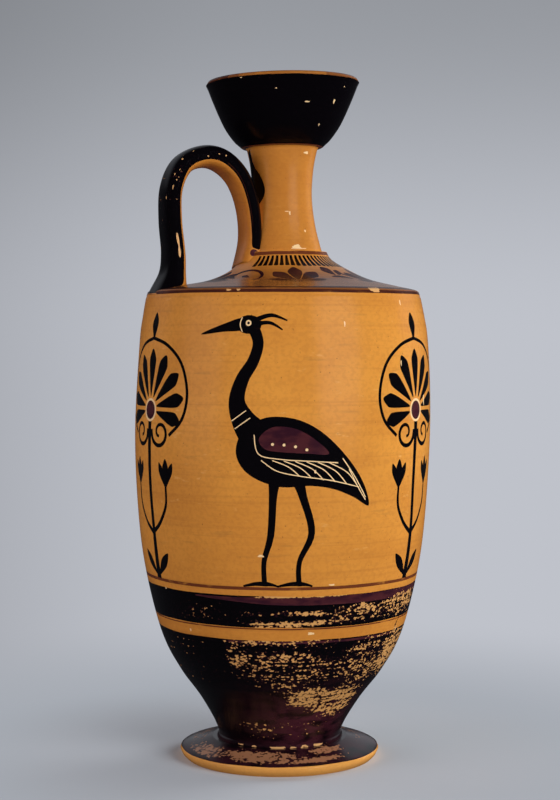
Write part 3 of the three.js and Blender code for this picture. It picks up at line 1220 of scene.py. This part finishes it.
def roughness(nodes, grain, smear, black_left):
    clay_rough = nodes.plus(0.17, nodes.times(grain, 0.06))
    gloss_rough = nodes.plus(0.14, nodes.times(smear, 0.14))
    drop = nodes.times(black_left, nodes.minus(clay_rough, gloss_rough))
    return nodes.minus(clay_rough, drop)


def fine_relief(nodes, where, grain, coat, pale_marks):
    """Grain, brush marks, the paint's thickness, and grooves under the pale marks, painted glints among
    them.
    """
    brushed = nodes.noise(where, (60, 60, 500), 3.0)
    relief = nodes.plus(nodes.times(grain, 0.015), nodes.times(brushed, 0.14))
    relief = nodes.plus(relief, nodes.times(coat, 0.45))
    relief = nodes.minus(relief, nodes.times(pale_marks, 0.5))
    return nodes.add("Bump", {"Strength": 0.35, "Distance": 0.0003, "Height": relief}).outputs[0]


def painted_clay():
    material, nodes, shader = new_material("painted_clay")
    where = nodes.add("TexCoord", {}).outputs["Object"]
    black, red, thin, pale_marks = nodes.attribute("paint")
    worn, fired_red, paleness_and_highlight, _ = nodes.attribute("age")
    smear = nodes.noise(where, (120, 120, 300), 4.0)
    grain = nodes.noise(where, (1600, 1600, 1600), 3.0)

    loose = loosening(nodes, where, worn)
    flaked = nodes.step(loose, -0.01, 0.01)
    whole = nodes.minus(1.0, flaked)
    painted = nodes.larger(black, red)
    black_left = nodes.times(black, whole)
    red_left = nodes.times(red, whole)
    thin_left = nodes.times(nodes.times(thin, whole), nodes.step(smear, 0.2, 0.45))

    colour = bare_colour(nodes, where, paleness_and_highlight, nodes.times(painted, flaked))
    colour = nodes.blend(nodes.times(thin_left, 0.92), colour, THIN_BROWN)
    added_red = nodes.blend(nodes.step(smear, 0.4, 0.66), ADDED_RED, ADDED_RED_DARK)
    colour = nodes.blend(red_left, colour, added_red)
    colour = nodes.blend(black_left, colour, gloss_colour(nodes, smear, loose, fired_red))
    # Pale marks on top: scratches, and painted glints
    colour = nodes.blend(pale_marks, colour, PALE_SCRATCH_AND_GLINT)

    dull = nodes.times(thin, painted)
    coat = nodes.larger(black_left, red_left)
    nodes.feed(shader, {
        "Base Color": colour,
        "Roughness": roughness(nodes, grain, smear, black_left),
        "Specular IOR Level": nodes.minus(0.5, nodes.times(dull, 0.5)),
        "Normal": fine_relief(nodes, where, grain, coat, pale_marks),
    })
    return material


# Floor, background, light and camera, in metres

EYE = place(CAMERA_DISTANCE, CAMERA_HEIGHT, 0.0)
UPWARDS = Vector((0, 0, 1))
BACKWARDS = place(1.0, 0.0, pi)
SIDEWAYS = place(1.0, 0.0, pi / 2)
SIDE_LIGHT = (0.24, 0.24, 0.24, 1.0)
TOP_LIGHT = (0.04, 0.04, 0.04, 1.0)
FLOOR_REACH = 40.0
LIT_FLOOR = (0.045, 0.17)
# Distances over which the floor's painted shade round the vessel fades into the backdrop
NEAR_FLOOR_SHADE = (0.08, 0.38)
WHITE_LIGHT = (1.0, 1.0, 1.0)
ROSY_LIGHT = (1.0, 0.91, 0.97)


def background_rays(nodes):
    """1 for rays that see the background: from the camera, from gloss and through glass."""
    rays = nodes.add("LightPath", {}).outputs
    straight = nodes.larger(rays["Is Camera Ray"], rays["Is Glossy Ray"])
    return nodes.larger(straight, rays["Is Transmission Ray"])


def towards(nodes, direction, axis):
    """How far a direction points along an axis, from -1 to 1."""
    return nodes.vector("DOT_PRODUCT", direction, axis)["Value"]


def backdrop(nodes, direction, shaded=1.0):
    """The pale backdrop, with painted shade above and, by the share shaded, towards the camera's left."""
    up = towards(nodes, direction, UPWARDS)
    tone = nodes.blend(nodes.step(up, 0.0, 0.21), HORIZON, BACKDROP_SHADE_ABOVE)
    left = nodes.step(towards(nodes, direction, SIDEWAYS), 0.0, -0.3)
    behind = nodes.times(nodes.step(towards(nodes, direction, BACKWARDS), 0.3, 0.9), shaded)
    return nodes.blend(nodes.times(nodes.times(left, behind), 0.36), tone, SHADE)


def seen(nodes, pale, in_gloss):
    """Pale surroundings as the camera sees them. Gloss mirrors a share of them, or else a dim room."""
    camera_ray = nodes.add("LightPath", {}).outputs["Is Camera Ray"]
    return nodes.blend(nodes.larger(camera_ray, in_gloss), DIM_ROOM, pale)


def room():
    world = bpy.data.worlds.new("room")
    bpy.context.scene.world = world
    world.use_nodes = True
    nodes = Nodes(world.node_tree)
    direction = nodes.add("TexCoord", {}).outputs["Generated"]
    up = towards(nodes, direction, UPWARDS)
    ambient = nodes.blend(nodes.step(up, 0.1, 0.8), SIDE_LIGHT, TOP_LIGHT)
    aside = nodes.calc("ABSOLUTE", towards(nodes, direction, SIDEWAYS))
    back = towards(nodes, direction, BACKWARDS)
    middle = nodes.times(nodes.step(back, 0.75, 0.92), nodes.step(aside, 0.4, 0.15))
    level = nodes.times(middle, nodes.step(up, 0.04, 0.1))
    rising = nodes.times(nodes.step(up, 0.14, 0.35), nodes.step(back, 0.3, 0.7))
    in_gloss = nodes.larger(level, rising)
    surroundings = seen(nodes, backdrop(nodes, direction), in_gloss)
    colour = nodes.blend(background_rays(nodes), ambient, surroundings)
    nodes.feed(world.node_tree.nodes["Background"], {"Color": colour})


def pale_floor():
    """Lit where the vessel's shadow falls, with a painted shade round the vessel that fades into the
    backdrop further out.
    """
    material, nodes, shader = new_material("pale_floor")
    where = nodes.add("NewGeometry", {}).outputs["Position"]
    cloud = nodes.noise(where, (7, 7, 7), 4.0)
    rays = nodes.add("LightPath", {}).outputs
    clouded = nodes.blend(nodes.times(cloud, 0.4), FLOOR, HORIZON)
    tone = nodes.blend(rays["Is Camera Ray"], FLOOR_BOUNCE, clouded)
    nodes.feed(shader, {"Base Color": tone, "Roughness": 0.85, "Specular IOR Level": 0.1})
    far = nodes.vector("LENGTH", where)["Value"]
    lit_floor = nodes.minus(1.0, nodes.step(far, *LIT_FLOOR))
    camera_fade = nodes.minus(1.0, nodes.times(lit_floor, rays["Is Camera Ray"]))
    fade = nodes.times(camera_fade, background_rays(nodes))
    from_eye = nodes.vector("SUBTRACT", where, EYE)[0]
    direction = nodes.vector("NORMALIZE", from_eye)[0]
    beyond = nodes.step(towards(nodes, where, BACKWARDS), -0.4, 0.3)
    # Painted shade on the floor round the vessel, fading into the backdrop further out
    pale = nodes.blend(nodes.step(far, *NEAR_FLOOR_SHADE), FLOOR_NEAR_SHADE, backdrop(nodes, direction, beyond))
    glow = nodes.add("Emission", {"Color": seen(nodes, pale, 0.0)})
    mixed = nodes.add("MixShader", {0: fade, 1: shader.outputs[0], 2: glow.outputs[0]})
    nodes.feed(material.node_tree.nodes["Material Output"], {"Surface": mixed.outputs[0]})
    return material


def floor():
    mesh = bpy.data.meshes.new("floor")
    corners = [(x * FLOOR_REACH, y * FLOOR_REACH, 0) for x, y in ((-1, -1), (1, -1), (1, 1), (-1, 1))]
    mesh.from_pydata(corners, [], [(0, 1, 2, 3)])
    mesh.materials.append(pale_floor())
    ground = added("floor", mesh)


def aim(thing, spot, target):
    thing.location = spot
    thing.rotation_euler = (target - spot).to_track_quat("-Z", "Y").to_euler()


def soft_light(name, heading, distance, height, size, power, colour=WHITE_LIGHT):
    """A square soft light at an angle from the camera, which faces the vessel's middle."""
    lamp = bpy.data.lights.new(name, "AREA")
    lamp.size = size
    lamp.energy = power
    lamp.color = colour
    light = added(name, lamp)
    light.visible_glossy = False
    aim(light, place(distance, height, radians(heading)), Vector((0, 0, AIM_HEIGHT)))


def camera():
    data = bpy.data.cameras.new("camera")
    data.lens = CAMERA_LENS
    eye = added("camera", data)
    aim(eye, EYE, place(AIM_SIDEWAYS, AIM_HEIGHT, pi / 2))
    bpy.context.scene.camera = eye


fired = painted_clay()
for row in PAINTERS:
    thrown(*row, fired)
handle(fired)

camera()
room()
floor()
soft_light("key", 43, 1.5, 0.5, 0.9, 21.9)
soft_light("fill", -66, 1.6, 0.34, 1.0, 12.6, ROSY_LIGHT)
soft_light("right_edge", 126, 1.6, 0.45, 0.8, 20)
soft_light("left_edge", -122, 1.6, 0.5, 0.8, 5)
bpy.context.scene.view_settings.view_transform = "Standard"
